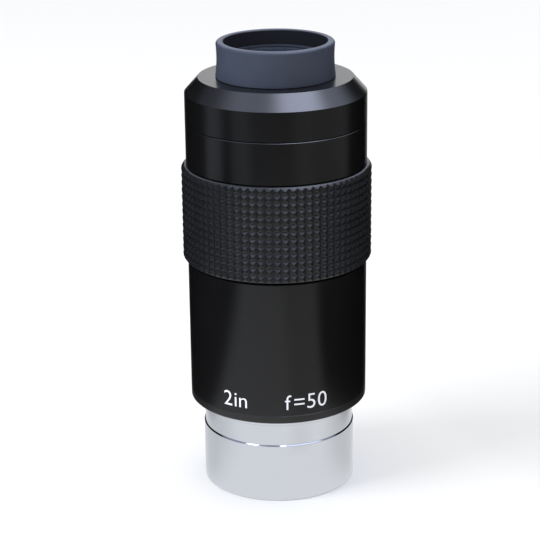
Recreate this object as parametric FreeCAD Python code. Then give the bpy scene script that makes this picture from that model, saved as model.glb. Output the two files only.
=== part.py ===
"""Telescope eyepiece, 2 inch push fit, 50 mm focal length, with a twist-up eye guard.

Frame: +Z is the optical axis, from the telescope to the eye. The origin is the centre of the
barrel's mouth, so z = 0 is the lowest point. All sizes are in millimetres.
"""
import FreeCAD, Part
import math
import os

os.makedirs("parts", exist_ok=True)

# Driving dimensions -------------------------------------------------------------------------
BARREL_R = 25.35            # outside of the 2 inch (50.8 mm) push-fit barrel
BARREL_LEN = 19.7           # bright full-width length of the barrel
NECK_R = 25.0               # safety neck above the full-width length
FILTER_THREAD_R = 23.6      # crest radius of the M48 x 0.75 filter thread
FILTER_THREAD_LEN = 5.0
BARREL_BORE_R = 23.2
BODY_R = 29.5               # black body, 59 mm across
BODY_BOTTOM = 29.8          # shoulder that rests on the focuser
JOINT_Z = 32.4              # fine joint line between the base ring and the housing
JOINT_BEVEL = 0.1
HOUSING_TOP = 77.5
GRIP_TOP = 110.0
GRIP_TIP_R = 31.1           # tips of the rubber ribs
GRIP_VALLEY_R = 29.9
GRIP_ROWS = 13
RING_TOP = 123.85           # top of the twist ring, at the seam
SEAM = 0.25                 # open seam between the twist ring and the cap
CAP_SIDE_TOP = 133.7
CAP_TOP = 138.65
CAP_TOP_R = 25.1            # inner end of the cap's cone
CUP_BASE = 138.8
CUP_FOOT_R = 19.3
CUP_WAIST_R = 18.9
CUP_LIP_R = 19.1
CUP_TOP = 150.15
CUP_INNER_R = 16.7
NOSE_R = 16.25              # nose of the lens cell, inside the eyecup
EYE_GLASS_R = 15.6
EYE_GLASS_TOP = 144.6       # edge height of the eye lens

LIFT = 12.0                 # travel of the eye guard
TWIST = 120.0               # turn of the twist ring that gives it, in degrees
PINS = 3
PIN_R = 1.5
PIN_Z = 93.0                # height of the cam pins with the guard down
RUN_FIT = 0.05              # radial clearance of a running fit
OPEN_FIT = 0.3              # clearance between moving surfaces that don't guide

TUBE_BORE_R = 23.5          # guide tube
TUBE_R = 25.0
SLEEVE_R = 26.5             # eye guard's sleeve, sliding on the guide tube
RING_BORE_R = SLEEVE_R + OPEN_FIT
RING_SEAT_R = 28.7          # recess that takes the rubber grip
CAM_R = 28.05               # floor of the cam grooves in the twist ring
FIELD_GLASS_R = 21.4
CEMENT = 0.05               # optical cement between the elements of a doublet
WALL = 2.0                  # wall of the lower housing


def revolved(points):
    """Solid of revolution about Z from a closed outline of (radius, height) points."""
    corners = [FreeCAD.Vector(r, 0, z) for r, z in points]
    wire = Part.makePolygon(corners + [corners[0]])
    return Part.Face(wire).revolve(FreeCAD.Vector(0, 0, 0), FreeCAD.Vector(0, 0, 1), 360)


def revolved_edges(edges):
    """Solid of revolution about Z from a closed loop of edges in the XZ plane."""
    face = Part.Face(Part.Wire(edges))
    return face.revolve(FreeCAD.Vector(0, 0, 0), FreeCAD.Vector(0, 0, 1), 360)


def ring(inner, outer, low, high):
    """Plain ring with square corners."""
    return revolved([(inner, low), (outer, low), (outer, high), (inner, high)])


def line(a, b):
    """Straight edge in the XZ plane between two (radius, height) points."""
    return Part.LineSegment(FreeCAD.Vector(a[0], 0, a[1]), FreeCAD.Vector(b[0], 0, b[1])).toShape()


def arc(a, middle, b):
    """Arc in the XZ plane through three (radius, height) points."""
    ends = [FreeCAD.Vector(r, 0, z) for r, z in (a, middle, b)]
    return Part.Arc(*ends).toShape()


def face_height(radius, edge_z, rise, r):
    """Height of a spherical glass face at radius r. It is edge_z high at its edge."""
    curve_r = (radius ** 2 + rise ** 2) / (2 * abs(rise))
    drop = curve_r - math.sqrt(curve_r ** 2 - r ** 2)
    return edge_z + rise - math.copysign(drop, rise)


def glass_face(radius, edge_z, rise):
    """Edge of a lens outline: an arc, or a straight line where the face is flat."""
    if rise == 0:
        return line((0, edge_z), (radius, edge_z))
    half = radius / 2
    middle = (half, face_height(radius, edge_z, rise, half))
    return arc((0, edge_z + rise), middle, (radius, edge_z))


def lens(radius, low_edge, high_edge, low_sag, high_sag):
    """Lens with spherical faces. A positive sag bulges outwards from the edge's height."""
    low = glass_face(radius, low_edge, -low_sag)
    high = glass_face(radius, high_edge, high_sag)
    axis_edge = line((0, low_edge - low_sag), (0, high_edge + high_sag))
    rim_edge = line((radius, low_edge), (radius, high_edge))
    return revolved_edges([low, rim_edge, high, axis_edge])


# Barrel end: everything that goes into the focuser -------------------------------------------
def make_barrel():
    """Chromed brass tube with the filter thread in its mouth, screwed into the base ring."""
    edge = 0.4
    step = 0.38
    top = 40.0
    return revolved([
        (FILTER_THREAD_R + edge, 0), (BARREL_R - edge, 0), (BARREL_R, edge),
        (BARREL_R, BARREL_LEN), (NECK_R, BARREL_LEN + step), (NECK_R, top),
        (BARREL_BORE_R, top),
        (BARREL_BORE_R, FILTER_THREAD_LEN), (FILTER_THREAD_R, FILTER_THREAD_LEN),
        (FILTER_THREAD_R, edge)])


def make_base_ring():
    """Black ring that closes the housing from below and carries the barrel."""
    edge = 0.15
    spigot_r = BODY_R - WALL
    spigot_top = 41.0
    return revolved([
        (NECK_R, BODY_BOTTOM), (BODY_R - edge, BODY_BOTTOM), (BODY_R, BODY_BOTTOM + edge),
        (BODY_R, JOINT_Z - JOINT_BEVEL), (BODY_R - JOINT_BEVEL, JOINT_Z), (spigot_r, JOINT_Z),
        (spigot_r, spigot_top), (NECK_R, spigot_top)])


def make_lower_housing():
    """Long black body shell, threaded inside for the field stop and the guide tube."""
    shoulder_low = 70.0
    edge = 0.15
    bore_r = BODY_R - WALL
    return revolved([
        (bore_r, JOINT_Z), (BODY_R - JOINT_BEVEL, JOINT_Z),
        (BODY_R, JOINT_Z + JOINT_BEVEL / 2), (BODY_R, HOUSING_TOP - edge),
        (BODY_R - edge, HOUSING_TOP), (TUBE_R, HOUSING_TOP), (TUBE_R, shoulder_low),
        (bore_r, shoulder_low)])


def make_field_stop():
    """Thin ring with a knife edge that gives the field of view its sharp border."""
    return revolved([
        (21.0, 54.2), (23.5, 53.0), (BODY_R - WALL, 53.0), (BODY_R - WALL, 56.0),
        (23.5, 56.0), (21.0, 54.6)])


# Fixed tube and its ring hardware -------------------------------------------------------------
def make_guide_tube():
    """Inner tube that holds the lens cell, with straight slots that keep the guard from turning."""
    low = 62.0
    high = 121.0
    foot_low = 66.0
    foot_r = BODY_R - WALL
    foot_high = 70.0
    tube = revolved([
        (TUBE_BORE_R, low), (TUBE_R, low), (TUBE_R, foot_low), (foot_r, foot_low),
        (foot_r, foot_high), (TUBE_R, foot_high), (TUBE_R, high), (TUBE_BORE_R, high)])
    half = PIN_R + 0.1
    for i in range(PINS):
        slot = Part.makeBox(8, 2 * half, LIFT, FreeCAD.Vector(20, -half, PIN_Z))
        for end_z in (PIN_Z, PIN_Z + LIFT):
            round_end = Part.makeCylinder(half, 8, FreeCAD.Vector(20, 0, end_z),
                                          FreeCAD.Vector(1, 0, 0))
            slot = slot.fuse(round_end)
        slot.rotate(FreeCAD.Vector(0, 0, 0), FreeCAD.Vector(0, 0, 1), i * 360 / PINS)
        tube = tube.cut(slot)
    return tube


FLANGE_LOW = HOUSING_TOP + 0.35   # inner flange of the twist ring
FLANGE_HIGH = FLANGE_LOW + 2.4
WASHER = 0.3


def make_lower_glide_washer():
    """Thin plastic washer between the housing and the twist ring."""
    return ring(TUBE_R, BODY_R - 2.3, HOUSING_TOP, HOUSING_TOP + WASHER)


def make_upper_glide_washer():
    """Thin plastic washer between the twist ring's flange and its retaining nut."""
    return ring(TUBE_R, 26.6, FLANGE_HIGH + 0.05, FLANGE_HIGH + 0.05 + WASHER)


def make_ring_retainer():
    """Slotted nut on the guide tube that keeps the twist ring down."""
    low = FLANGE_HIGH + 0.05 + WASHER
    nut = ring(TUBE_R, 26.5, low, low + 2.4)
    for i in range(4):
        notch = Part.makeBox(3, 2, 1.2, FreeCAD.Vector(TUBE_R + 0.6, -1, low + 1.2))
        notch.rotate(FreeCAD.Vector(0, 0, 0), FreeCAD.Vector(0, 0, 1), 45 + i * 90)
        nut = nut.cut(notch)
    return nut


# Lens cell and glass --------------------------------------------------------------------------
CELL_LOW = 88.0
CELL_SEAT = 121.0           # flange that rests on the guide tube's top
LIP = 0.25                  # lip that holds the eye lens in from above
NOSE_BORE_LOW = 129.0       # lower end of the narrow bore in the cell's nose

# Edge heights and sags of the glass faces, from the eye down to the field.
EYE_TOP_SAG = 0.6
EYE_JOIN = 138.2            # cemented face of the eye doublet
EYE_JOIN_SAG = 2.4
EYE_LOW = 133.5
EYE_LOW_SAG = 0.5
MIDDLE_HIGH = 118.0
MIDDLE_HIGH_SAG = 3.6
MIDDLE_LOW = 113.4
MIDDLE_LOW_SAG = 2.2
FIELD_HIGH = 105.6
FIELD_HIGH_SAG = 3.0
FIELD_JOIN = 99.0           # cemented face of the field doublet
FIELD_JOIN_SAG = 3.4
FIELD_LOW = 91.4
SPACER_WALL = 1.7


def make_lens_cell():
    """Turned tube that holds all the glass, loaded from below and closed by one ring."""
    cell_r = TUBE_BORE_R - 0.02
    seat_r = TUBE_R - 0.3
    bore_r = FIELD_GLASS_R + 0.1
    nose_bore = EYE_GLASS_R + 0.05
    glass_top = EYE_GLASS_TOP + 0.1
    return revolved([
        (bore_r, CELL_LOW), (cell_r, CELL_LOW), (cell_r, CELL_SEAT), (seat_r, CELL_SEAT),
        (seat_r, CELL_SEAT + 2.5), (NOSE_R, 131.5), (NOSE_R, glass_top),
        (NOSE_R - 0.15, EYE_GLASS_TOP + LIP), (EYE_GLASS_R - LIP, EYE_GLASS_TOP + LIP),
        (EYE_GLASS_R - LIP, glass_top), (nose_bore, glass_top),
        (nose_bore, NOSE_BORE_LOW), (bore_r, MIDDLE_HIGH + 3.5)])


def make_eye_crown_lens():
    """Upper element of the eye doublet, with the coated face that the user looks into."""
    return lens(EYE_GLASS_R, EYE_JOIN, EYE_GLASS_TOP, EYE_JOIN_SAG, EYE_TOP_SAG)


def make_eye_flint_lens():
    """Lower element of the cemented eye doublet."""
    return lens(EYE_GLASS_R, EYE_LOW, EYE_JOIN - CEMENT, EYE_LOW_SAG, -EYE_JOIN_SAG)


def make_eye_spacer():
    """Blackened spacer between the eye doublet and the middle lens, resting on both faces."""
    wide_r = FIELD_GLASS_R - SPACER_WALL
    slim_r = EYE_GLASS_R - 1.1
    low = face_height(FIELD_GLASS_R, MIDDLE_HIGH, MIDDLE_HIGH_SAG, wide_r) + 0.02
    high = face_height(EYE_GLASS_R, EYE_LOW, -EYE_LOW_SAG, slim_r) - 0.02
    return revolved([
        (wide_r, low), (FIELD_GLASS_R, low), (FIELD_GLASS_R, MIDDLE_HIGH + 3.2),
        (EYE_GLASS_R, NOSE_BORE_LOW - 0.1), (EYE_GLASS_R, high), (slim_r, high),
        (slim_r, NOSE_BORE_LOW - 0.5), (wide_r, MIDDLE_HIGH + 2.5)])


def make_middle_lens():
    """Single positive lens in the middle of the stack."""
    return lens(FIELD_GLASS_R, MIDDLE_LOW, MIDDLE_HIGH, MIDDLE_LOW_SAG, MIDDLE_HIGH_SAG)


def make_field_spacer():
    """Blackened spacer between the middle lens and the field doublet."""
    inner = FIELD_GLASS_R - SPACER_WALL
    low = face_height(FIELD_GLASS_R, FIELD_HIGH, FIELD_HIGH_SAG, inner) + 0.02
    high = face_height(FIELD_GLASS_R, MIDDLE_LOW, -MIDDLE_LOW_SAG, inner) - 0.02
    return ring(inner, FIELD_GLASS_R, low, high)


def make_field_crown_lens():
    """Upper element of the field doublet."""
    return lens(FIELD_GLASS_R, FIELD_JOIN, FIELD_HIGH, FIELD_JOIN_SAG, FIELD_HIGH_SAG)


def make_field_flint_lens():
    """Lower element of the cemented field doublet, which faces the telescope."""
    return lens(FIELD_GLASS_R, FIELD_LOW, FIELD_JOIN - CEMENT, 0, -FIELD_JOIN_SAG)


def make_field_retaining_ring():
    """Threaded ring that closes the lens cell from below, with two notches for a wrench."""
    low = CELL_LOW + 0.6
    inner = FIELD_GLASS_R - 1.8
    nut = ring(inner, FIELD_GLASS_R + 0.1, low, FIELD_LOW)
    for side in (1, -1):
        notch = Part.makeBox(3, 1.6, 1.2, FreeCAD.Vector(-1.5, -0.8, low - 0.1))
        notch.translate(FreeCAD.Vector(side * inner, 0, 0))
        nut = nut.cut(notch)
    return nut


# Twist ring body ------------------------------------------------------------------------------
def make_cam_groove(start_angle):
    """Tool that cuts one left-hand helical groove, one pin wide, into the ring's bore."""
    half = PIN_R + 0.15
    run_on = 4.0
    pitch = LIFT * 360 / TWIST
    depth_in = RING_BORE_R - 1.0
    height = LIFT + 2 * run_on * pitch / 360
    helix = Part.makeHelix(pitch, height, depth_in, 0, True)
    profile = Part.makePolygon([
        FreeCAD.Vector(depth_in, 0, -half), FreeCAD.Vector(CAM_R, 0, -half),
        FreeCAD.Vector(CAM_R, 0, half), FreeCAD.Vector(depth_in, 0, half),
        FreeCAD.Vector(depth_in, 0, -half)])
    groove = Part.Wire(helix.Edges).makePipeShell([profile], True, True)
    groove.translate(FreeCAD.Vector(0, 0, PIN_Z - run_on * pitch / 360))
    groove.rotate(FreeCAD.Vector(0, 0, 0), FreeCAD.Vector(0, 0, 1), start_angle + run_on)
    return groove


def make_twist_ring():
    """Turning ring under the rubber grip. Cam grooves in its bore lift the eye guard."""
    edge = 0.12
    undercut = 0.35
    body = revolved([
        (TUBE_R + RUN_FIT, FLANGE_LOW), (RING_SEAT_R, FLANGE_LOW), (RING_SEAT_R, GRIP_TOP),
        (BODY_R - undercut, GRIP_TOP), (BODY_R, GRIP_TOP + undercut),
        (BODY_R, RING_TOP - edge), (BODY_R - edge, RING_TOP),
        (RING_BORE_R, RING_TOP), (RING_BORE_R, FLANGE_HIGH), (TUBE_R + RUN_FIT, FLANGE_HIGH)])
    for i in range(PINS):
        body = body.cut(make_cam_groove(i * 360 / PINS))
    return body


def make_rubber_grip():
    """Moulded rubber sleeve with a ribbed outline, stretched over the twist ring's recess."""
    low = FLANGE_LOW + 0.45
    rib_low = low + 0.15
    rib_high = GRIP_TOP - 0.3
    pitch = (rib_high - rib_low) / GRIP_ROWS
    outline = [(RING_SEAT_R, low), (BODY_R + 0.1, low), (GRIP_VALLEY_R, rib_low)]
    for i in range(GRIP_ROWS):
        z = rib_low + i * pitch
        outline.append((GRIP_TIP_R, z + pitch * 0.42))
        outline.append((GRIP_TIP_R, z + pitch * 0.58))
        outline.append((GRIP_VALLEY_R, z + pitch))
    outline += [(GRIP_VALLEY_R, GRIP_TOP), (RING_SEAT_R, GRIP_TOP)]
    return revolved(outline)


def make_ring_seal():
    """Felt ring in the top of the twist ring that keeps dust out of the cam grooves."""
    return ring(SLEEVE_R + 0.08, RING_BORE_R - 0.02, RING_TOP - 2.6, RING_TOP - 0.6)


# Eye guard body -------------------------------------------------------------------------------
SLEEVE_LOW = 88.5
SLEEVE_TOP = 132.0


def make_guard_sleeve():
    """Sleeve that slides on the guide tube and carries the cap."""
    sleeve = ring(TUBE_R + RUN_FIT, SLEEVE_R, SLEEVE_LOW, SLEEVE_TOP)
    for i in range(PINS):
        hole = Part.makeCylinder(PIN_R, 8, FreeCAD.Vector(20, 0, PIN_Z), FreeCAD.Vector(1, 0, 0))
        hole.rotate(FreeCAD.Vector(0, 0, 0), FreeCAD.Vector(0, 0, 1), i * 360 / PINS)
        sleeve = sleeve.cut(hole)
    return sleeve


def make_cam_pins():
    """Hardened pins set in the sleeve, from the straight slots out to the cam grooves."""
    pins = []
    for i in range(PINS):
        pin = Part.makeCylinder(PIN_R, CAM_R - 0.2 - 23.8, FreeCAD.Vector(23.8, 0, PIN_Z),
                                FreeCAD.Vector(1, 0, 0))
        pin.rotate(FreeCAD.Vector(0, 0, 0), FreeCAD.Vector(0, 0, 1), i * 360 / PINS)
        pins.append(pin)
    return Part.makeCompound(pins)


def make_cap():
    """Black head of the eye guard: a skirt, a cone and a flat top with the eyecup's hole."""
    roof = 2.4
    hole_r = CUP_INNER_R - 0.05
    low = RING_TOP + SEAM
    edge = 0.1
    return revolved([
        (SLEEVE_R, low), (BODY_R - edge, low), (BODY_R, low + edge), (BODY_R, CAP_SIDE_TOP),
        (CAP_TOP_R, CAP_TOP), (hole_r, CAP_TOP), (hole_r, CAP_TOP - roof),
        (CAP_TOP_R - 0.6, CAP_TOP - roof), (SLEEVE_R, SLEEVE_TOP + 0.6)])


def make_cup_collar():
    """Thin grooved collar on the cap that the rubber eyecup is stretched over."""
    inner = CUP_INNER_R - 0.05
    return revolved([
        (inner, CAP_TOP), (17.7, CAP_TOP), (17.7, 140.0), (17.2, 140.0), (17.2, 141.4),
        (17.7, 141.4), (17.7, 143.0), (inner, 143.0)])


def make_eyecup():
    """Soft rubber cup with a rounded rim. A bead grips the collar, and a lip inside hides the gap."""
    rim_low = CUP_TOP - 0.95
    lip_r = EYE_GLASS_R - 0.1
    lip_low = EYE_GLASS_TOP + LIP + 0.05
    lip_high = lip_low + 0.3
    return revolved_edges([
        line((17.7, CUP_BASE), (CUP_FOOT_R, CUP_BASE)),
        line((CUP_FOOT_R, CUP_BASE), (CUP_FOOT_R, CUP_BASE + 0.5)),
        arc((CUP_FOOT_R, CUP_BASE + 0.5), (CUP_WAIST_R, 144.4), (CUP_LIP_R, rim_low)),
        arc((CUP_LIP_R, rim_low), (18.87, 149.83), (18.3, CUP_TOP)),
        line((18.3, CUP_TOP), (17.2, CUP_TOP)),
        arc((17.2, CUP_TOP), (16.85, 150.0), (CUP_INNER_R, CUP_TOP - 0.5)),
        line((CUP_INNER_R, CUP_TOP - 0.5), (CUP_INNER_R, lip_high)),
        line((CUP_INNER_R, lip_high), (lip_r, lip_high)),
        line((lip_r, lip_high), (lip_r, lip_low)),
        line((lip_r, lip_low), (CUP_INNER_R, lip_low)),
        line((CUP_INNER_R, lip_low), (CUP_INNER_R, 143.0)),
        line((CUP_INNER_R, 143.0), (17.7, 143.0)),
        line((17.7, 143.0), (17.7, 141.4)),
        line((17.7, 141.4), (17.2, 141.4)),
        line((17.2, 141.4), (17.2, 140.0)),
        line((17.2, 140.0), (17.7, 140.0)),
        line((17.7, 140.0), (17.7, CUP_BASE))])


NODES = {
    "barrel": make_barrel,
    "base_ring": make_base_ring,
    "lower_housing": make_lower_housing,
    "field_stop": make_field_stop,
    "guide_tube": make_guide_tube,
    "lower_glide_washer": make_lower_glide_washer,
    "upper_glide_washer": make_upper_glide_washer,
    "ring_retainer": make_ring_retainer,
    "lens_cell": make_lens_cell,
    "eye_crown_lens": make_eye_crown_lens,
    "eye_flint_lens": make_eye_flint_lens,
    "eye_spacer": make_eye_spacer,
    "middle_lens": make_middle_lens,
    "field_spacer": make_field_spacer,
    "field_crown_lens": make_field_crown_lens,
    "field_flint_lens": make_field_flint_lens,
    "field_retaining_ring": make_field_retaining_ring,
    "twist_ring": make_twist_ring,
    "rubber_grip": make_rubber_grip,
    "ring_seal": make_ring_seal,
    "guard_sleeve": make_guard_sleeve,
    "cam_pins": make_cam_pins,
    "cap": make_cap,
    "cup_collar": make_cup_collar,
    "eyecup": make_eyecup,
}

for name, make in NODES.items():
    shape = make()
    if not shape.isValid():
        raise ValueError("invalid solid: " + name)
    shape.exportStep("parts/" + name + ".step")
    box = shape.optimalBoundingBox()
    print("%-22s z %7.2f to %7.2f  volume %9.1f" % (name, box.ZMin, box.ZMax, shape.Volume))
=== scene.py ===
import math

import bmesh
import bpy
from mathutils import Matrix, Vector


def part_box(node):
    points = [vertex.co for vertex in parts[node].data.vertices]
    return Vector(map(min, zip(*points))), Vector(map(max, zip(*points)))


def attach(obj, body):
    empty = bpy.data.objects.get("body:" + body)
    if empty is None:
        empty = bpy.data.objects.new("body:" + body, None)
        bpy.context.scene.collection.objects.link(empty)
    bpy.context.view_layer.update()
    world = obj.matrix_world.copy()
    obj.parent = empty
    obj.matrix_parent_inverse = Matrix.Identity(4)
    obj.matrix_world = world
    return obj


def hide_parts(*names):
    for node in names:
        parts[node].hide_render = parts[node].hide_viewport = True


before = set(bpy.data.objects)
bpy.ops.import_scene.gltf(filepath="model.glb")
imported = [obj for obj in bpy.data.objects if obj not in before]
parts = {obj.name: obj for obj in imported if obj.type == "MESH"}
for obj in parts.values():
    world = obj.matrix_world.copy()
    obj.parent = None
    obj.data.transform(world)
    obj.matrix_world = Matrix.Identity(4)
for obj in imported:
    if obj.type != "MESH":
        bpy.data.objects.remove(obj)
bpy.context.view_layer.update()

MM = 0.001


# ---- Barrel ------------------------------------------------------------------------------------
# The push-fit tube is turned from brass and chromed. Its mouth is cut with a fine filter thread,
# and its bore is painted black against stray light. It screws up into the base ring.

class Socket:
    """A shader socket. Arithmetic on it adds Math nodes, and node() adds a node of any kind."""

    def __init__(self, tree, output):
        self.tree = tree
        self.output = output

    def node(self, kind, settings=None, inputs=None, out=0):
        """Adds a node: its settings first, then a value or a link for each named socket."""
        made = self.tree.nodes.new("ShaderNode" + kind)
        for name, value in (settings or {}).items():
            if name == "stops":
                ramp = made.color_ramp.elements
                for place, colour in value[2:]:
                    ramp.new(place)
                for element, (place, colour) in zip(ramp, value):
                    element.position = place
                    element.color = (*colour, 1)
            else:
                setattr(made, name, value)
        for name, value in (inputs or {}).items():
            target = made.inputs[name]
            if isinstance(value, Socket):
                self.tree.links.new(value.output, target)
            else:
                target.default_value = value
        return Socket(self.tree, made.outputs[out])

    def math(self, operation, *others):
        return self.node("Math", {"operation": operation}, dict(enumerate((self, *others))))

    def __add__(self, other):
        return self.math("ADD", other)

    def __sub__(self, other):
        return self.math("SUBTRACT", other)

    def __mul__(self, other):
        return self.math("MULTIPLY", other)

    def __truediv__(self, other):
        return self.math("DIVIDE", other)

    __radd__ = __add__
    __rmul__ = __mul__

    def __rsub__(self, other):
        return self.node("Math", {"operation": "SUBTRACT"}, {0: other, 1: self})

    def fade(self, low, high):
        """0 below low, 1 above high, and smooth between."""
        limits = {"Value": self, "From Min": low, "From Max": high}
        return self.node("MapRange", {"interpolation_type": "SMOOTHSTEP"}, limits)

    def window(self, opens, opened, closes, closed):
        """1 between opened and closes, 0 below opens and above closed, and smooth between."""
        return self.fade(opens, opened) * (1 - self.fade(closes, closed))

    def mix(self, colour_a, colour_b):
        """Colour A where this mask is 0 and colour B where it is 1."""
        ends = {0: self, 6: opaque(colour_a), 7: opaque(colour_b)}
        return self.node("Mix", {"data_type": "RGBA"}, ends, out=2)

    def noise(self, scale, detail=3.0, roughness=0.5, stretch=(1, 1, 1)):
        """Noise about 0.5 on this vector. The scale counts its grains in a millimetre."""
        moved = self.node("VectorMath", {"operation": "MULTIPLY"}, {0: self, 1: stretch})
        grain = {"Vector": moved, "Scale": scale / MM, "Detail": detail, "Roughness": roughness}
        return moved.node("TexNoise", None, grain)

    def bump(self, height_mm, strength=1.0):
        """Normal of a surface that this value raises, by height_mm where it is 1."""
        relief = {"Height": self, "Distance": height_mm * MM, "Strength": strength}
        return self.node("Bump", None, relief)


def opaque(colour):
    """A colour as a socket wants it. Links pass through."""
    return colour if isinstance(colour, Socket) else (*colour, 1)


def new_finish(name):
    """An empty material, and its object coordinates, which move with the piece."""
    material = bpy.data.materials.new(name)
    material.use_nodes = True
    material.node_tree.nodes.clear()
    start = Socket(material.node_tree, None)
    return material, start.node("TexCoord", out="Object")


def end_in(material, shader):
    """Links a shader to the surface of its material."""
    output = material.node_tree.nodes.new("ShaderNodeOutputMaterial")
    material.node_tree.links.new(shader.output, output.inputs["Surface"])
    return material


def surface(material, place, **sockets):
    """Ends a material in one Principled shader. Socket names have _ for a space."""
    named = {name.replace("_", " "): value for name, value in sockets.items()}
    for name in ("Base Color", "Coat Tint"):
        if name in named:
            named[name] = opaque(named[name])
    return end_in(material, place.node("BsdfPrincipled", None, named))


def xyz(place):
    """The three coordinates of a place, in millimetres."""
    split = place.node("SeparateXYZ", None, {0: place}).output.node
    return [Socket(place.tree, split.outputs[i]) / MM for i in range(3)]


def off_axis(place):
    """Distance from the optical axis, in millimetres."""
    x, y = xyz(place)[:2]
    return (x * x + y * y).math("SQRT")


def rounded(corners, steps=4):
    """Outline of (radius, height) points from (radius, height, edge rounding) corners."""
    outline = []
    for i, (r, z, soft) in enumerate(corners):
        here = Vector((r, z))
        if soft == 0:
            outline.append(here)
            continue
        before = (Vector(corners[i - 1][:2]) - here).normalized()
        after = (Vector(corners[(i + 1) % len(corners)][:2]) - here).normalized()
        start, end = here + before * soft, here + after * soft
        for k in range(steps + 1):
            t = k / steps
            outline.append(start * (1 - t) ** 2 + here * 2 * t * (1 - t) + end * t ** 2)
    return outline


def make_piece(name, work):
    """Turns a finished bmesh into a piece of the scene."""
    mesh = bpy.data.meshes.new(name)
    work.to_mesh(mesh)
    work.free()
    piece = bpy.data.objects.new(name, mesh)
    bpy.context.scene.collection.objects.link(piece)
    return piece


def turned(name, outline, around):
    """Closed solid of revolution from a closed outline in millimetres."""
    work = bmesh.new()
    rings = []
    for k in range(around):
        a = 2 * math.pi * k / around
        ring = [work.verts.new((r * math.cos(a) * MM, r * math.sin(a) * MM, z * MM))
                for r, z in outline]
        rings.append(ring)
    for k in range(around):
        here, there = rings[k], rings[(k + 1) % around]
        for i in range(len(outline)):
            j = (i + 1) % len(outline)
            work.faces.new((here[i], there[i], there[j], here[j]))
    bmesh.ops.recalc_face_normals(work, faces=work.faces)
    piece = make_piece(name, work)
    piece.data.shade_smooth()
    piece.data.set_sharp_from_angle(angle=math.radians(SHARP_EDGE))
    return piece


def finish_nodes(material, *names):
    """Gives CAD nodes a finish."""
    for name in names:
        for holder in parts[name].material_slots:
            holder.material = material


BARREL_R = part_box("barrel")[1].x / MM
BARREL_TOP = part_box("barrel")[1].z / MM
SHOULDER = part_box("base_ring")[0].z / MM
BARREL_AROUND = 240
SHARP_EDGE = 32
NECK_R = 25.0
NECK_LOW = 20.08
STEP = 0.38
COLLAR_LOW = 27.0
COLLAR_PROUD = 0.25
BORE_R = 23.2
MOUTH_CHAMFER = 0.55
PAINT_R = 24.2
THREAD_CREST_R = 23.6
THREAD_DEPTH = 0.4
THREAD_PITCH = 0.75
THREAD_LENGTH = 5.0
THREAD_LOW = 0.1
THREAD_RUN_OUT = 0.4
THREAD_FLANK = 2.6
THREAD_FLAT = 0.2
THREAD_RELIEF = 0.8
THREAD_STEPS = 84


def clamp(value):
    return max(0.0, min(1.0, value))


def cut_thread(vertex):
    """Moves a point of the mouth's wall out into a thread as wide as an M48 filter's."""
    r = math.hypot(vertex.co.x, vertex.co.y) / MM
    z = vertex.co.z / MM
    turn = math.atan2(vertex.co.y, vertex.co.x) / (2 * math.pi)
    phase = (z / THREAD_PITCH - turn) % 1
    flank = clamp(abs(phase - 0.5) * THREAD_FLANK - THREAD_FLAT)
    starts = clamp((z - THREAD_LOW) / THREAD_RUN_OUT)
    ends = clamp((THREAD_LENGTH + THREAD_RUN_OUT - z) / THREAD_RUN_OUT)
    grow = (r + THREAD_DEPTH * flank * starts * ends) / r
    vertex.co.x *= grow
    vertex.co.y *= grow


def make_barrel_mesh():
    """Barrel with a safety neck, a collar under the shoulder, and a thread in its mouth."""
    bore_low = THREAD_LENGTH + THREAD_RELIEF
    outline = rounded([
        (THREAD_CREST_R + MOUTH_CHAMFER, 0.0, 0.12), (BARREL_R, 0.0, 0.45),
        (BARREL_R, NECK_LOW - STEP, 0.06), (NECK_R, NECK_LOW, 0.06),
        (NECK_R, COLLAR_LOW, 0.05), (NECK_R + COLLAR_PROUD, COLLAR_LOW + COLLAR_PROUD, 0.05),
        (NECK_R + COLLAR_PROUD, SHOULDER, 0), (NECK_R, SHOULDER, 0),
        (NECK_R, BARREL_TOP, 0.2), (BORE_R, BARREL_TOP, 0.2), (BORE_R, bore_low, 0.1)], steps=5)
    thread_run = bore_low - 2 * THREAD_LOW
    for k in range(THREAD_STEPS + 1):
        z = thread_run * (1 - k / THREAD_STEPS) + THREAD_LOW
        outline.append(Vector((THREAD_CREST_R, z)))
    piece = turned("barrel_shell", outline, BARREL_AROUND)
    for vertex in piece.data.vertices:
        if abs(math.hypot(vertex.co.x, vertex.co.y) / MM - THREAD_CREST_R) < 0.01:
            cut_thread(vertex)
    return piece


def make_chrome():
    """Mirror-bright chrome with faint turning marks, and black paint down the bore."""
    material, place = new_finish("chrome_plate")
    inside = 1 - off_axis(place).fade(PAINT_R - 0.05, PAINT_R + 0.05)
    handled = place.noise(0.12, detail=4)
    marks = place.noise(3.0, detail=2, stretch=(0.03, 0.03, 6))
    plate = handled.mix((0.59, 0.61, 0.64), (0.64, 0.66, 0.69))
    polish = 0.07 + handled * 0.05 + inside * 0.45
    relief = (marks * (1 - inside)).bump(0.0012)
    return surface(material, place, Base_Color=inside.mix(plate, (0.012, 0.012, 0.013)),
                   Metallic=1 - inside, Roughness=polish, Normal=relief)


barrel = make_barrel_mesh()
chrome = make_chrome()
barrel.data.materials.append(chrome)
finish_nodes(chrome, "barrel")
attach(barrel, "body")
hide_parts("barrel")


# ---- Base ring and lower housing ---------------------------------------------------------------
# Both are turned from aluminium bar and black anodised to a soft shine. The base ring screws into
# the housing at a fine joint line, and the barrel screws into the ring. The ring is given a
# slightly greyer base colour than the housing.

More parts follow.
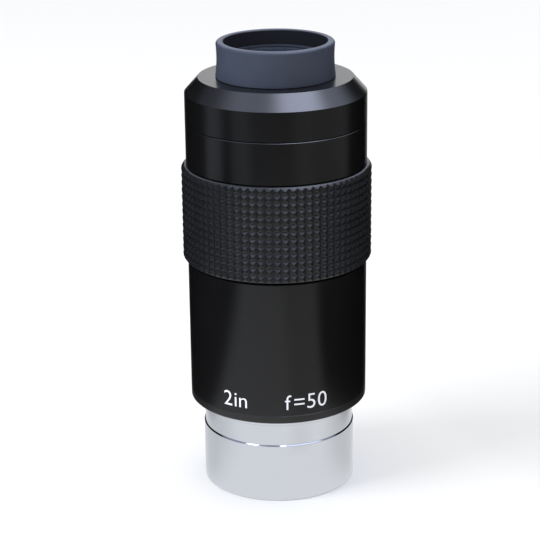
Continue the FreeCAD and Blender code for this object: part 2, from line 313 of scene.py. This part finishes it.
def make_anodised(name, polish=0.22, turning=0.0016, grey=0.0):
    """Black anodised aluminium: near black, with a soft shine and fine turning marks."""
    material, place = new_finish(name)
    cloud = place.noise(0.06, detail=4)
    marks = place.noise(2.2, detail=3, stretch=(0.02, 0.02, 5))
    dark = (0.0036 + grey, 0.0036 + grey, 0.0041 + grey)
    light = (0.0054 + grey, 0.0054 + grey, 0.0058 + grey)
    dye = cloud.mix(dark, light)
    shine = polish + (cloud - 0.5) * 0.06 + (marks - 0.5) * 0.03
    return surface(material, place, Base_Color=dye, Roughness=shine, IOR=1.5,
                   Normal=marks.bump(turning))


finish_nodes(make_anodised("ring_black", grey=0.0065), "base_ring")
finish_nodes(make_anodised("housing_black"), "lower_housing")


# ---- Printed figures ---------------------------------------------------------------------------
# The barrel size and the focal length are screen printed in white enamel low on the housing, in
# plain sans figures. The ink stands a few hundredths of a millimetre proud.

HOUSING_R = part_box("lower_housing")[1].x / MM
INK_CAP_HEIGHT = 5.2
INK_BASE_Z = 34.6
INK_THICKNESS = 0.03
INK_MIDDLE = 0.4 * INK_THICKNESS
INK_THINNING = 0.035
CAP_HEIGHT_SHARE = 0.70
LETTER_GAP = 0.95
LONG_EDGE = 0.5
LONG_EDGE_CUTS = 4


def letter_mesh(letter):
    """One letter of the built-in face as a flat slab, in millimetres, thinned a little."""
    curve = bpy.data.curves.new("letter", "FONT")
    curve.body = letter
    curve.size = INK_CAP_HEIGHT / CAP_HEIGHT_SHARE
    curve.offset = -INK_THINNING
    curve.resolution_u = 6
    curve.extrude = INK_THICKNESS / 2
    holder = bpy.data.objects.new("letter_outline", curve)
    bpy.context.scene.collection.objects.link(holder)
    bpy.context.view_layer.update()
    graph = bpy.context.evaluated_depsgraph_get()
    mesh = bpy.data.meshes.new_from_object(holder.evaluated_get(graph))
    bpy.data.objects.remove(holder)
    return mesh


def make_print(name, words, start_angle):
    """Letters set side by side and then wrapped round the housing."""
    work = bmesh.new()
    pen = 0.0
    for letter in words:
        mesh = letter_mesh(letter)
        left = min(v.co.x for v in mesh.vertices)
        right = max(v.co.x for v in mesh.vertices)
        mesh.transform(Matrix.Translation((pen - left, 0, 0)))
        work.from_mesh(mesh)
        pen += right - left + LETTER_GAP
    bmesh.ops.remove_doubles(work, verts=work.verts, dist=1e-5)
    bmesh.ops.triangulate(work, faces=work.faces)
    wide = [e for e in work.edges if abs(e.verts[0].co.x - e.verts[1].co.x) > LONG_EDGE]
    bmesh.ops.subdivide_edges(work, edges=wide, cuts=LONG_EDGE_CUTS)
    bmesh.ops.triangulate(work, faces=work.faces)
    for vertex in work.verts:
        angle = math.radians(start_angle) + vertex.co.x / HOUSING_R
        r = HOUSING_R + vertex.co.z + INK_MIDDLE
        z = INK_BASE_Z + vertex.co.y
        vertex.co = Vector((r * math.sin(angle), -r * math.cos(angle), z)) * MM
    bmesh.ops.recalc_face_normals(work, faces=work.faces)
    return make_piece(name, work)


def make_ink():
    """White enamel, very slightly uneven in cover."""
    material, place = new_finish("white_enamel")
    cover = place.noise(1.6, detail=4)
    colour = cover.mix((0.72, 0.73, 0.80), (0.86, 0.87, 0.92))
    return surface(material, place, Base_Color=colour, Roughness=0.42 + cover * 0.1,
                   Normal=cover.bump(0.004))


ink = make_ink()
PRINTS = (("barrel_size_print", "2in", -37), ("focal_length_print", "f=50", 4))
for name, words, start_angle in PRINTS:
    printed = make_print(name, words, start_angle)
    printed.data.materials.append(ink)
    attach(printed, "body")


# ---- Inner metalwork ---------------------------------------------------------------------------
# The field stop, guide tube, nut, lens cell, spacers and sleeve are aluminium, anodised matt black
# so that they throw no stray light. The grooves of the turning tool are left on them on purpose.

TOOL_PITCH = 0.5


def make_inner_black():
    """Matt black anodising over coarse turning."""
    material, place = new_finish("inner_black")
    height = xyz(place)[2]
    grooves = (height * (2 * math.pi / TOOL_PITCH)).math("SINE")
    grain = place.noise(1.5, detail=3)
    dye = grain.mix((0.006, 0.006, 0.0065), (0.011, 0.011, 0.012))
    relief = (grooves * 0.5 + grain * 0.4).bump(0.03)
    return surface(material, place, Base_Color=dye, Roughness=0.55 + grain * 0.2, Normal=relief)


inner_black = make_inner_black()
finish_nodes(inner_black, "field_stop", "guide_tube", "ring_retainer", "lens_cell", "eye_spacer",
             "field_spacer", "field_retaining_ring", "guard_sleeve", "cup_collar")


# ---- Glide washers -----------------------------------------------------------------------------
# Two punched washers of thin low-friction film let the twist ring turn without scraping. They are
# trapped between the housing, the ring and its nut, out of sight.

def make_film():
    """Black plastic film with a faint calendered streak."""
    material, place = new_finish("glide_film")
    streak = place.noise(0.8, detail=3, stretch=(1, 0.1, 1))
    colour = streak.mix((0.030, 0.030, 0.031), (0.042, 0.042, 0.043))
    return surface(material, place, Base_Color=colour, Roughness=0.45 + streak * 0.1,
                   Normal=streak.bump(0.004))


finish_nodes(make_film(), "lower_glide_washer", "upper_glide_washer")


# ---- Glass -------------------------------------------------------------------------------------
# Five ground and polished elements with vacuum-deposited anti-reflection layers. Their colour
# is painted light: dark shade in the middle, and a pale blue-grey reflection towards the rim.

SHADED_MIDDLE_R = 3
REFLECTING_RIM_R = 13


def make_glass():
    """Coated glass: painted shade in the middle, a painted blue-grey reflection to its rim."""
    material, place = new_finish("coated_glass")
    mottle = place.noise(0.03, detail=1)
    # Painted reflection: the pale blue-grey rim colour. Painted shade: the dark middle.
    rim = mottle.mix((0.092, 0.112, 0.147), (0.108, 0.132, 0.171))
    tint = off_axis(place).fade(SHADED_MIDDLE_R, REFLECTING_RIM_R).mix((0.016, 0.021, 0.040), rim)
    return surface(material, place, Base_Color=tint, Roughness=0.16 + mottle * 0.04, IOR=1.6,
                   Coat_Weight=1.0, Coat_Roughness=0.02, Coat_IOR=1.45,
                   Coat_Tint=(0.80, 0.86, 1.0))


finish_nodes(make_glass(), "eye_crown_lens", "eye_flint_lens", "middle_lens", "field_crown_lens",
             "field_flint_lens")


# ---- Twist ring --------------------------------------------------------------------------------
# The ring that the hand turns is one aluminium turning with three cam grooves milled in its bore.
# A felt ring is pressed into its top to keep dust out.

finish_nodes(make_anodised("ring_anodised", polish=0.20), "twist_ring")


def make_felt():
    """Black wool felt."""
    material, place = new_finish("black_felt")
    fibres = place.noise(6.0, detail=6, roughness=0.7)
    colour = fibres.mix((0.006, 0.006, 0.006), (0.02, 0.02, 0.02))
    return surface(material, place, Base_Color=colour, Roughness=0.95, Sheen_Weight=0.4,
                   Normal=fibres.bump(0.08))


finish_nodes(make_felt(), "ring_seal")


# ---- Rubber grip -------------------------------------------------------------------------------
# A moulded sleeve of black rubber stretched over the twist ring. It is covered in square-based
# points in straight rows, with a plain rounded lip above them and a bevelled lip below.

GRIP_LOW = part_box("rubber_grip")[0].z / MM
GRIP_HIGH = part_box("rubber_grip")[1].z / MM
GRIP_TIP_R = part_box("rubber_grip")[1].x / MM
GRIP_BACK_R = 28.75
GRIP_VALLEY_R = 30.4
GRIP_ROWS = 13
GRIP_AROUND = 74
TIP_FLAT = 0.12
MOULD_RADIUS = 0.26
LOW_LIP = 0.15
LOW_LIP_R = 29.75
HIGH_LIP = 0.30
HIGH_LIP_OUTLINE = ((30.3, 0.25), (30.1, 0.08), (29.7, 0.0), (29.35, 0.12), (GRIP_BACK_R, 0.12))


def make_grip_mesh():
    """One closed skin: the field of points, the two lips and the smooth back."""
    work = bmesh.new()
    row_low = GRIP_LOW + LOW_LIP
    row_pitch = (GRIP_HIGH - HIGH_LIP - row_low) / GRIP_ROWS

    def point(r, step, z):
        a = 2 * math.pi * step / GRIP_AROUND
        return work.verts.new((r * math.cos(a) * MM, r * math.sin(a) * MM, z * MM))

    def loop(r, z):
        return [point(r, k, z) for k in range(GRIP_AROUND)]

    def band(low, high):
        for k in range(GRIP_AROUND):
            n = (k + 1) % GRIP_AROUND
            work.faces.new((low[k], low[n], high[n], high[k]))

    grid = [loop(GRIP_VALLEY_R, row_low + i * row_pitch) for i in range(GRIP_ROWS + 1)]
    for i in range(GRIP_ROWS):
        for k in range(GRIP_AROUND):
            n = (k + 1) % GRIP_AROUND
            foot = (grid[i][k], grid[i][n], grid[i + 1][n], grid[i + 1][k])
            z = row_low + (i + 0.5) * row_pitch
            tip = [point(GRIP_TIP_R, k + 0.5 + TIP_FLAT * dx, z + TIP_FLAT * dz * row_pitch)
                   for dx, dz in ((-1, -1), (1, -1), (1, 1), (-1, 1))]
            work.faces.new(tip)
            for c in range(4):
                d = (c + 1) % 4
                work.faces.new((foot[c], foot[d], tip[d], tip[c]))
    below = [loop(GRIP_BACK_R, GRIP_LOW), loop(LOW_LIP_R, GRIP_LOW)]
    above = [loop(r, GRIP_HIGH - depth) for r, depth in HIGH_LIP_OUTLINE]
    for chain in ([*below, grid[0]], [grid[-1], *above, below[0]]):
        for low, high in zip(chain, chain[1:]):
            band(low, high)
    bmesh.ops.recalc_face_normals(work, faces=work.faces)
    piece = make_piece("rubber_grip_points", work)
    soften = piece.modifiers.new("mould_radius", "BEVEL")
    soften.width = MOULD_RADIUS * MM
    soften.segments = 3
    soften.limit_method = "ANGLE"
    soften.angle_limit = math.radians(20)
    piece.data.shade_smooth()
    return piece


def make_rubber(name, dark, light, roughness, grain_height, gloss=0.5, bore=None):
    """Moulded rubber with a fine grain and a little bloom. The last argument gives the radius,
    floor height and colour of painted shade down a bore."""
    material, place = new_finish(name)
    grain = place.noise(5.0, detail=4, roughness=0.6)
    mottle = place.noise(0.15, detail=4)
    colour = mottle.mix(dark, light)
    # Painted shade: the bore's wall is darkened above its floor, where shade falls in the recess.
    if bore:
        bore_r, bore_floor, black = bore
        wall = 1 - off_axis(place).fade(bore_r, bore_r + 0.3)
        height = xyz(place)[2]
        colour = (wall * height.fade(bore_floor, bore_floor + 0.1)).mix(colour, black)
    return surface(material, place, Base_Color=colour, IOR=1.48, Specular_IOR_Level=gloss,
                   Roughness=roughness + (mottle - 0.5) * 0.12, Normal=grain.bump(grain_height))


grip = make_grip_mesh()
grip_rubber = make_rubber("grip_rubber", (0.0058, 0.0062, 0.0078), (0.0098, 0.0104, 0.0124),
                          roughness=0.33, grain_height=0.008)
grip.data.materials.append(grip_rubber)
finish_nodes(grip_rubber, "rubber_grip")
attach(grip, "twist_ring_body")
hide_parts("rubber_grip")


# ---- Cam pins ----------------------------------------------------------------------------------
# Three hardened steel pins, ground to size and pressed into the sleeve. They run in the ring's cam
# grooves and the guide tube's slots, and lift the sleeve as the ring turns.

def make_steel():
    """Ground steel with marks along the grinding."""
    material, place = new_finish("ground_steel")
    scratch = place.noise(4.0, detail=4, stretch=(0.2, 0.2, 4))
    colour = scratch.mix((0.42, 0.42, 0.43), (0.58, 0.58, 0.60))
    return surface(material, place, Base_Color=colour, Metallic=1.0,
                   Roughness=0.24 + scratch * 0.15, Normal=scratch.bump(0.002))


finish_nodes(make_steel(), "cam_pins")


# ---- Cap ---------------------------------------------------------------------------------------
# The head of the eye guard is one turning with a straight skirt, a cone and a flat top. It is
# anodised like the body, and screws onto the guard's sleeve.

finish_nodes(make_anodised("cap_anodised", polish=0.24), "cap")


# ---- Eyecup ------------------------------------------------------------------------------------
# A soft slate-grey rubber cup, moulded in one piece with a rounded rim, stretched over its collar.
# Shade is painted dark down its bore, above the recess floor.

# Radius, floor height and colour of the painted shade in the cup's bore.
CUP_BORE_R = 16.75
CUP_BORE_LOW = 145.2
CUP_BORE_PAINTED_SHADE = (0.008, 0.009, 0.012)

cup_rubber = make_rubber("cup_rubber", (0.036, 0.045, 0.071), (0.045, 0.056, 0.085),
                         roughness=0.46, grain_height=0.010, gloss=0.34,
                         bore=(CUP_BORE_R, CUP_BORE_LOW, CUP_BORE_PAINTED_SHADE))
finish_nodes(cup_rubber, "eyecup")


# ---- Studio ------------------------------------------------------------------------------------
# A pale table under soft light, for looking at the eyepiece. Cards that show only in reflections
# stand round it: they give the black metal its bands and the cone of the cap its bright patch.

def sheet(name, rows, material):
    """A stage surface from rows of points, in metres."""
    work = bmesh.new()
    grid = [[work.verts.new(p) for p in row] for row in rows]
    for low, high in zip(grid, grid[1:]):
        for k in range(len(low) - 1):
            work.faces.new((low[k], low[k + 1], high[k + 1], high[k]))
    surface_piece = make_piece(name, work)
    surface_piece.data.materials.append(material)
    return surface_piece


def level_rows(half, z):
    """Corners of a level square sheet round the axis."""
    return [[(-half, y, z), (half, y, z)] for y in (-half, half)]


def only_in_reflections(card):
    for kind in ("camera", "diffuse", "shadow", "transmission", "volume_scatter"):
        setattr(card, "visible_" + kind, False)


def glow(material, place, colour, strength):
    """Ends a material in plain emission of a colour, raised or dimmed from place to place."""
    shining = place.node("VectorMath", {"operation": "SCALE"}, {0: colour, "Scale": strength})
    return end_in(material, place.node("Emission", None, {"Color": shining}))


def even_glow(name, strength):
    """White emission that is the same all over."""
    material, place = new_finish(name)
    white = {"Color": (1, 1, 1, 1), "Strength": strength}
    return end_in(material, place.node("Emission", None, white))


def bands(across, edges_and_levels):
    """Sum of soft-edged bands across a value. Each has a window's four edges, and a level."""
    return sum(across.window(*edges) * level for edges, level in edges_and_levels)


PAPER_LEFT = 84
PAPER_RIGHT = 80
PAPER_BEND = 70
PAPER_EDGE = 12
CLOTH_BEGINS = 275
CLOTH_ALL = 385
CLOTH_SECTORS = (((-102, -88, -76, -64), 0.46), ((-61, -50, -41, -25), 0.36),
                 ((-45, -25, 25, 45), 0.12), ((12, 40, 90, 106), 0.30))
PANEL_FRONT = -385
PANEL_BOW = 0.0004
PANEL_LEVEL = 2.1
BOX_X = 260
BOX_Y = -150
BOX_LEVEL = 6.6
FRONT_LEVEL = 0.45
FRONT_STRIPS = (((-640, -610, -420, -380), 3.2), ((18, 42, 118, 142), 3.5),
                ((130, 170, 790, 910), 0.9))


def make_table():
    """Pale matt paper."""
    material, place = new_finish("pale_table")
    return surface(material, place, Base_Color=(0.88, 0.88, 0.88), Roughness=0.95)


def make_table_glow():
    """How the table looks in the metal: bright paper near the eyepiece, dark cloth beyond."""
    material, place = new_finish("table_glow")
    x, y = xyz(place)[:2]
    ahead = 0 - y
    in_front = ahead.math("MAXIMUM", 0.0)
    behind = y.math("MAXIMUM", 0.0)
    out = off_axis(place)
    bearing = x.math("ARCTAN2", ahead) * (180 / math.pi)
    turned_away = bearing.math("ABSOLUTE")

    # The paper's two edges spread towards the front, bend there, and grow softer.
    bend = (ahead - PAPER_BEND).math("MAXIMUM", 0.0)
    edge = PAPER_EDGE + in_front * 0.12
    left_edge = PAPER_LEFT + in_front * 0.8 - bend * 0.4 - behind * 0.6
    right_edge = PAPER_RIGHT + in_front * 0.2 + bend * 0.75 - behind * 0.5
    paper = 1 - ((0 - x - left_edge) / edge).fade(-1, 1)
    paper = paper * (1 - ((x - right_edge) / edge).fade(-1, 1))

    # It is brightest close to the eyepiece, and dimmer at its right front and to its sides.
    far_front = (ahead - 175).math("MAXIMUM", 0.0)
    paper = paper * (0.66 + 0.36 * (1 - out.fade(82, 100)) - 0.0006 * far_front)
    paper = paper * (1 - 0.27 * x.fade(5, 50) * ahead.fade(45, 95))
    paper = paper * (1 - 0.22 * turned_away.fade(45, 95))

    # A lane behind the eyepiece and a few sectors of the cloth are lighter than the rest.
    lane = 1 - (x.math("ABSOLUTE") - behind * 0.45).fade(-5, 45)
    lane_level = 0.04 + 0.08 * (1 - behind.fade(80, 130)) + 0.36 * x.fade(-40, 320)
    lane = lane * behind.fade(30, 75) * lane_level
    cloth = bands(bearing, CLOTH_SECTORS) + lane
    reach = out.fade(CLOTH_BEGINS, CLOTH_ALL)
    strength = (paper + lane) * (1 - reach) + cloth * reach
    tint = x.fade(-400, 100).mix((0.90, 0.95, 1.08), (0.985, 0.99, 1.0))
    return glow(material, place, tint, strength.math("MAXIMUM", 0.0))


def make_ceiling_glow():
    """A broad dim panel with a brighter box to the right of the axis, and strips in front."""
    material, place = new_finish("ceiling_glow")
    x, y = xyz(place)[:2]
    over = (y - PANEL_FRONT - x * x * PANEL_BOW).fade(-40, 40)
    panel = 0.13 * x.fade(-1200, -900) + 0.87 * x.fade(-770, -410)
    panel = panel * (1 - x.fade(720, 1080)) * PANEL_LEVEL
    box_x = x - BOX_X
    box_y = y - BOX_Y
    box = 1 - (box_x * box_x + box_y * box_y * 0.5).math("SQRT").fade(140, 380)
    front = FRONT_LEVEL + bands(x, FRONT_STRIPS)
    strength = (panel + box * BOX_LEVEL) * over + front * (1 - over)
    return glow(material, place, (0.88, 0.96, 1.22), strength)


TABLE_HALF = 6.0
TABLE_CARD_HALF = 1.5
TABLE_CARD_Z = 0.0002
CEILING_HALF = 1.35
CEILING_Z = 0.80
WALL_R = 1.30
WALL_HIGH = 0.79
WALL_STEPS = 48
GAP_LEFT = 13.3
GAP_RIGHT = 22.6
BACKDROP_Y = WALL_R + 0.02
BACKDROP_LEFT = -0.6
BACKDROP_RIGHT = 0.7
BACKDROP_LEVEL = 1.08

sheet("floor", level_rows(TABLE_HALF, 0.0), make_table())
only_in_reflections(sheet("table_card", level_rows(TABLE_CARD_HALF, TABLE_CARD_Z),
                          make_table_glow()))
only_in_reflections(sheet("ceiling_card", level_rows(CEILING_HALF, CEILING_Z),
                          make_ceiling_glow()))

span = 360 - GAP_LEFT - GAP_RIGHT
bearings = [math.radians(-180 + GAP_LEFT + k * span / WALL_STEPS) for k in range(WALL_STEPS + 1)]
wall = [[(WALL_R * math.sin(a), -WALL_R * math.cos(a), z) for a in bearings]
        for z in (0, WALL_HIGH)]
only_in_reflections(sheet("dark_wall", wall, even_glow("dark_cloth", 0.0)))
backdrop = [[(x, BACKDROP_Y, z) for x in (BACKDROP_LEFT, BACKDROP_RIGHT)]
            for z in (0, WALL_HIGH)]
only_in_reflections(sheet("backdrop_card", backdrop, even_glow("backdrop", BACKDROP_LEVEL)))

SOFTBOX_PLACE = Vector((-0.78, -0.31, 0.50))
SOFTBOX_AIM = Vector((0, 0, 0.09))
SOFTBOX_WATTS = 6.0

light = bpy.data.lights.new("left_softbox", "AREA")
light.shape = "RECTANGLE"
light.size = 0.5
light.size_y = 0.6
light.energy = SOFTBOX_WATTS
light.color = (0.94, 0.97, 1.0)
softbox = bpy.data.objects.new("left_softbox", light)
softbox.location = SOFTBOX_PLACE
softbox.rotation_euler = (SOFTBOX_AIM - SOFTBOX_PLACE).to_track_quat("-Z", "Y").to_euler()
softbox.visible_glossy = False
bpy.context.scene.collection.objects.link(softbox)

world = bpy.data.worlds.new("studio_air")
world.use_nodes = True
world.node_tree.nodes["Background"].inputs["Color"].default_value = (1, 1, 1, 1)
world.node_tree.nodes["Background"].inputs["Strength"].default_value = 1.0
bpy.context.scene.world = world
bpy.context.scene.view_settings.view_transform = "Standard"

CAMERA_BACK = 0.5703
CAMERA_HEIGHT = 0.2698
CAMERA_DIP = 19.08
CAMERA_ROLL = 0.55
CAMERA_LENS = 120.9
CAMERA_SHIFT = -0.0138

lens = bpy.data.cameras.new("camera")
lens.lens = CAMERA_LENS
lens.sensor_width = 36.0
lens.shift_x = CAMERA_SHIFT
lens.clip_start = 0.01
camera = bpy.data.objects.new("camera", lens)
camera.matrix_world = (Matrix.Translation((0, -CAMERA_BACK, CAMERA_HEIGHT))
                       @ Matrix.Rotation(math.radians(90 - CAMERA_DIP), 4, "X")
                       @ Matrix.Rotation(math.radians(-CAMERA_ROLL), 4, "Z"))
bpy.context.scene.collection.objects.link(camera)
bpy.context.scene.camera = camera
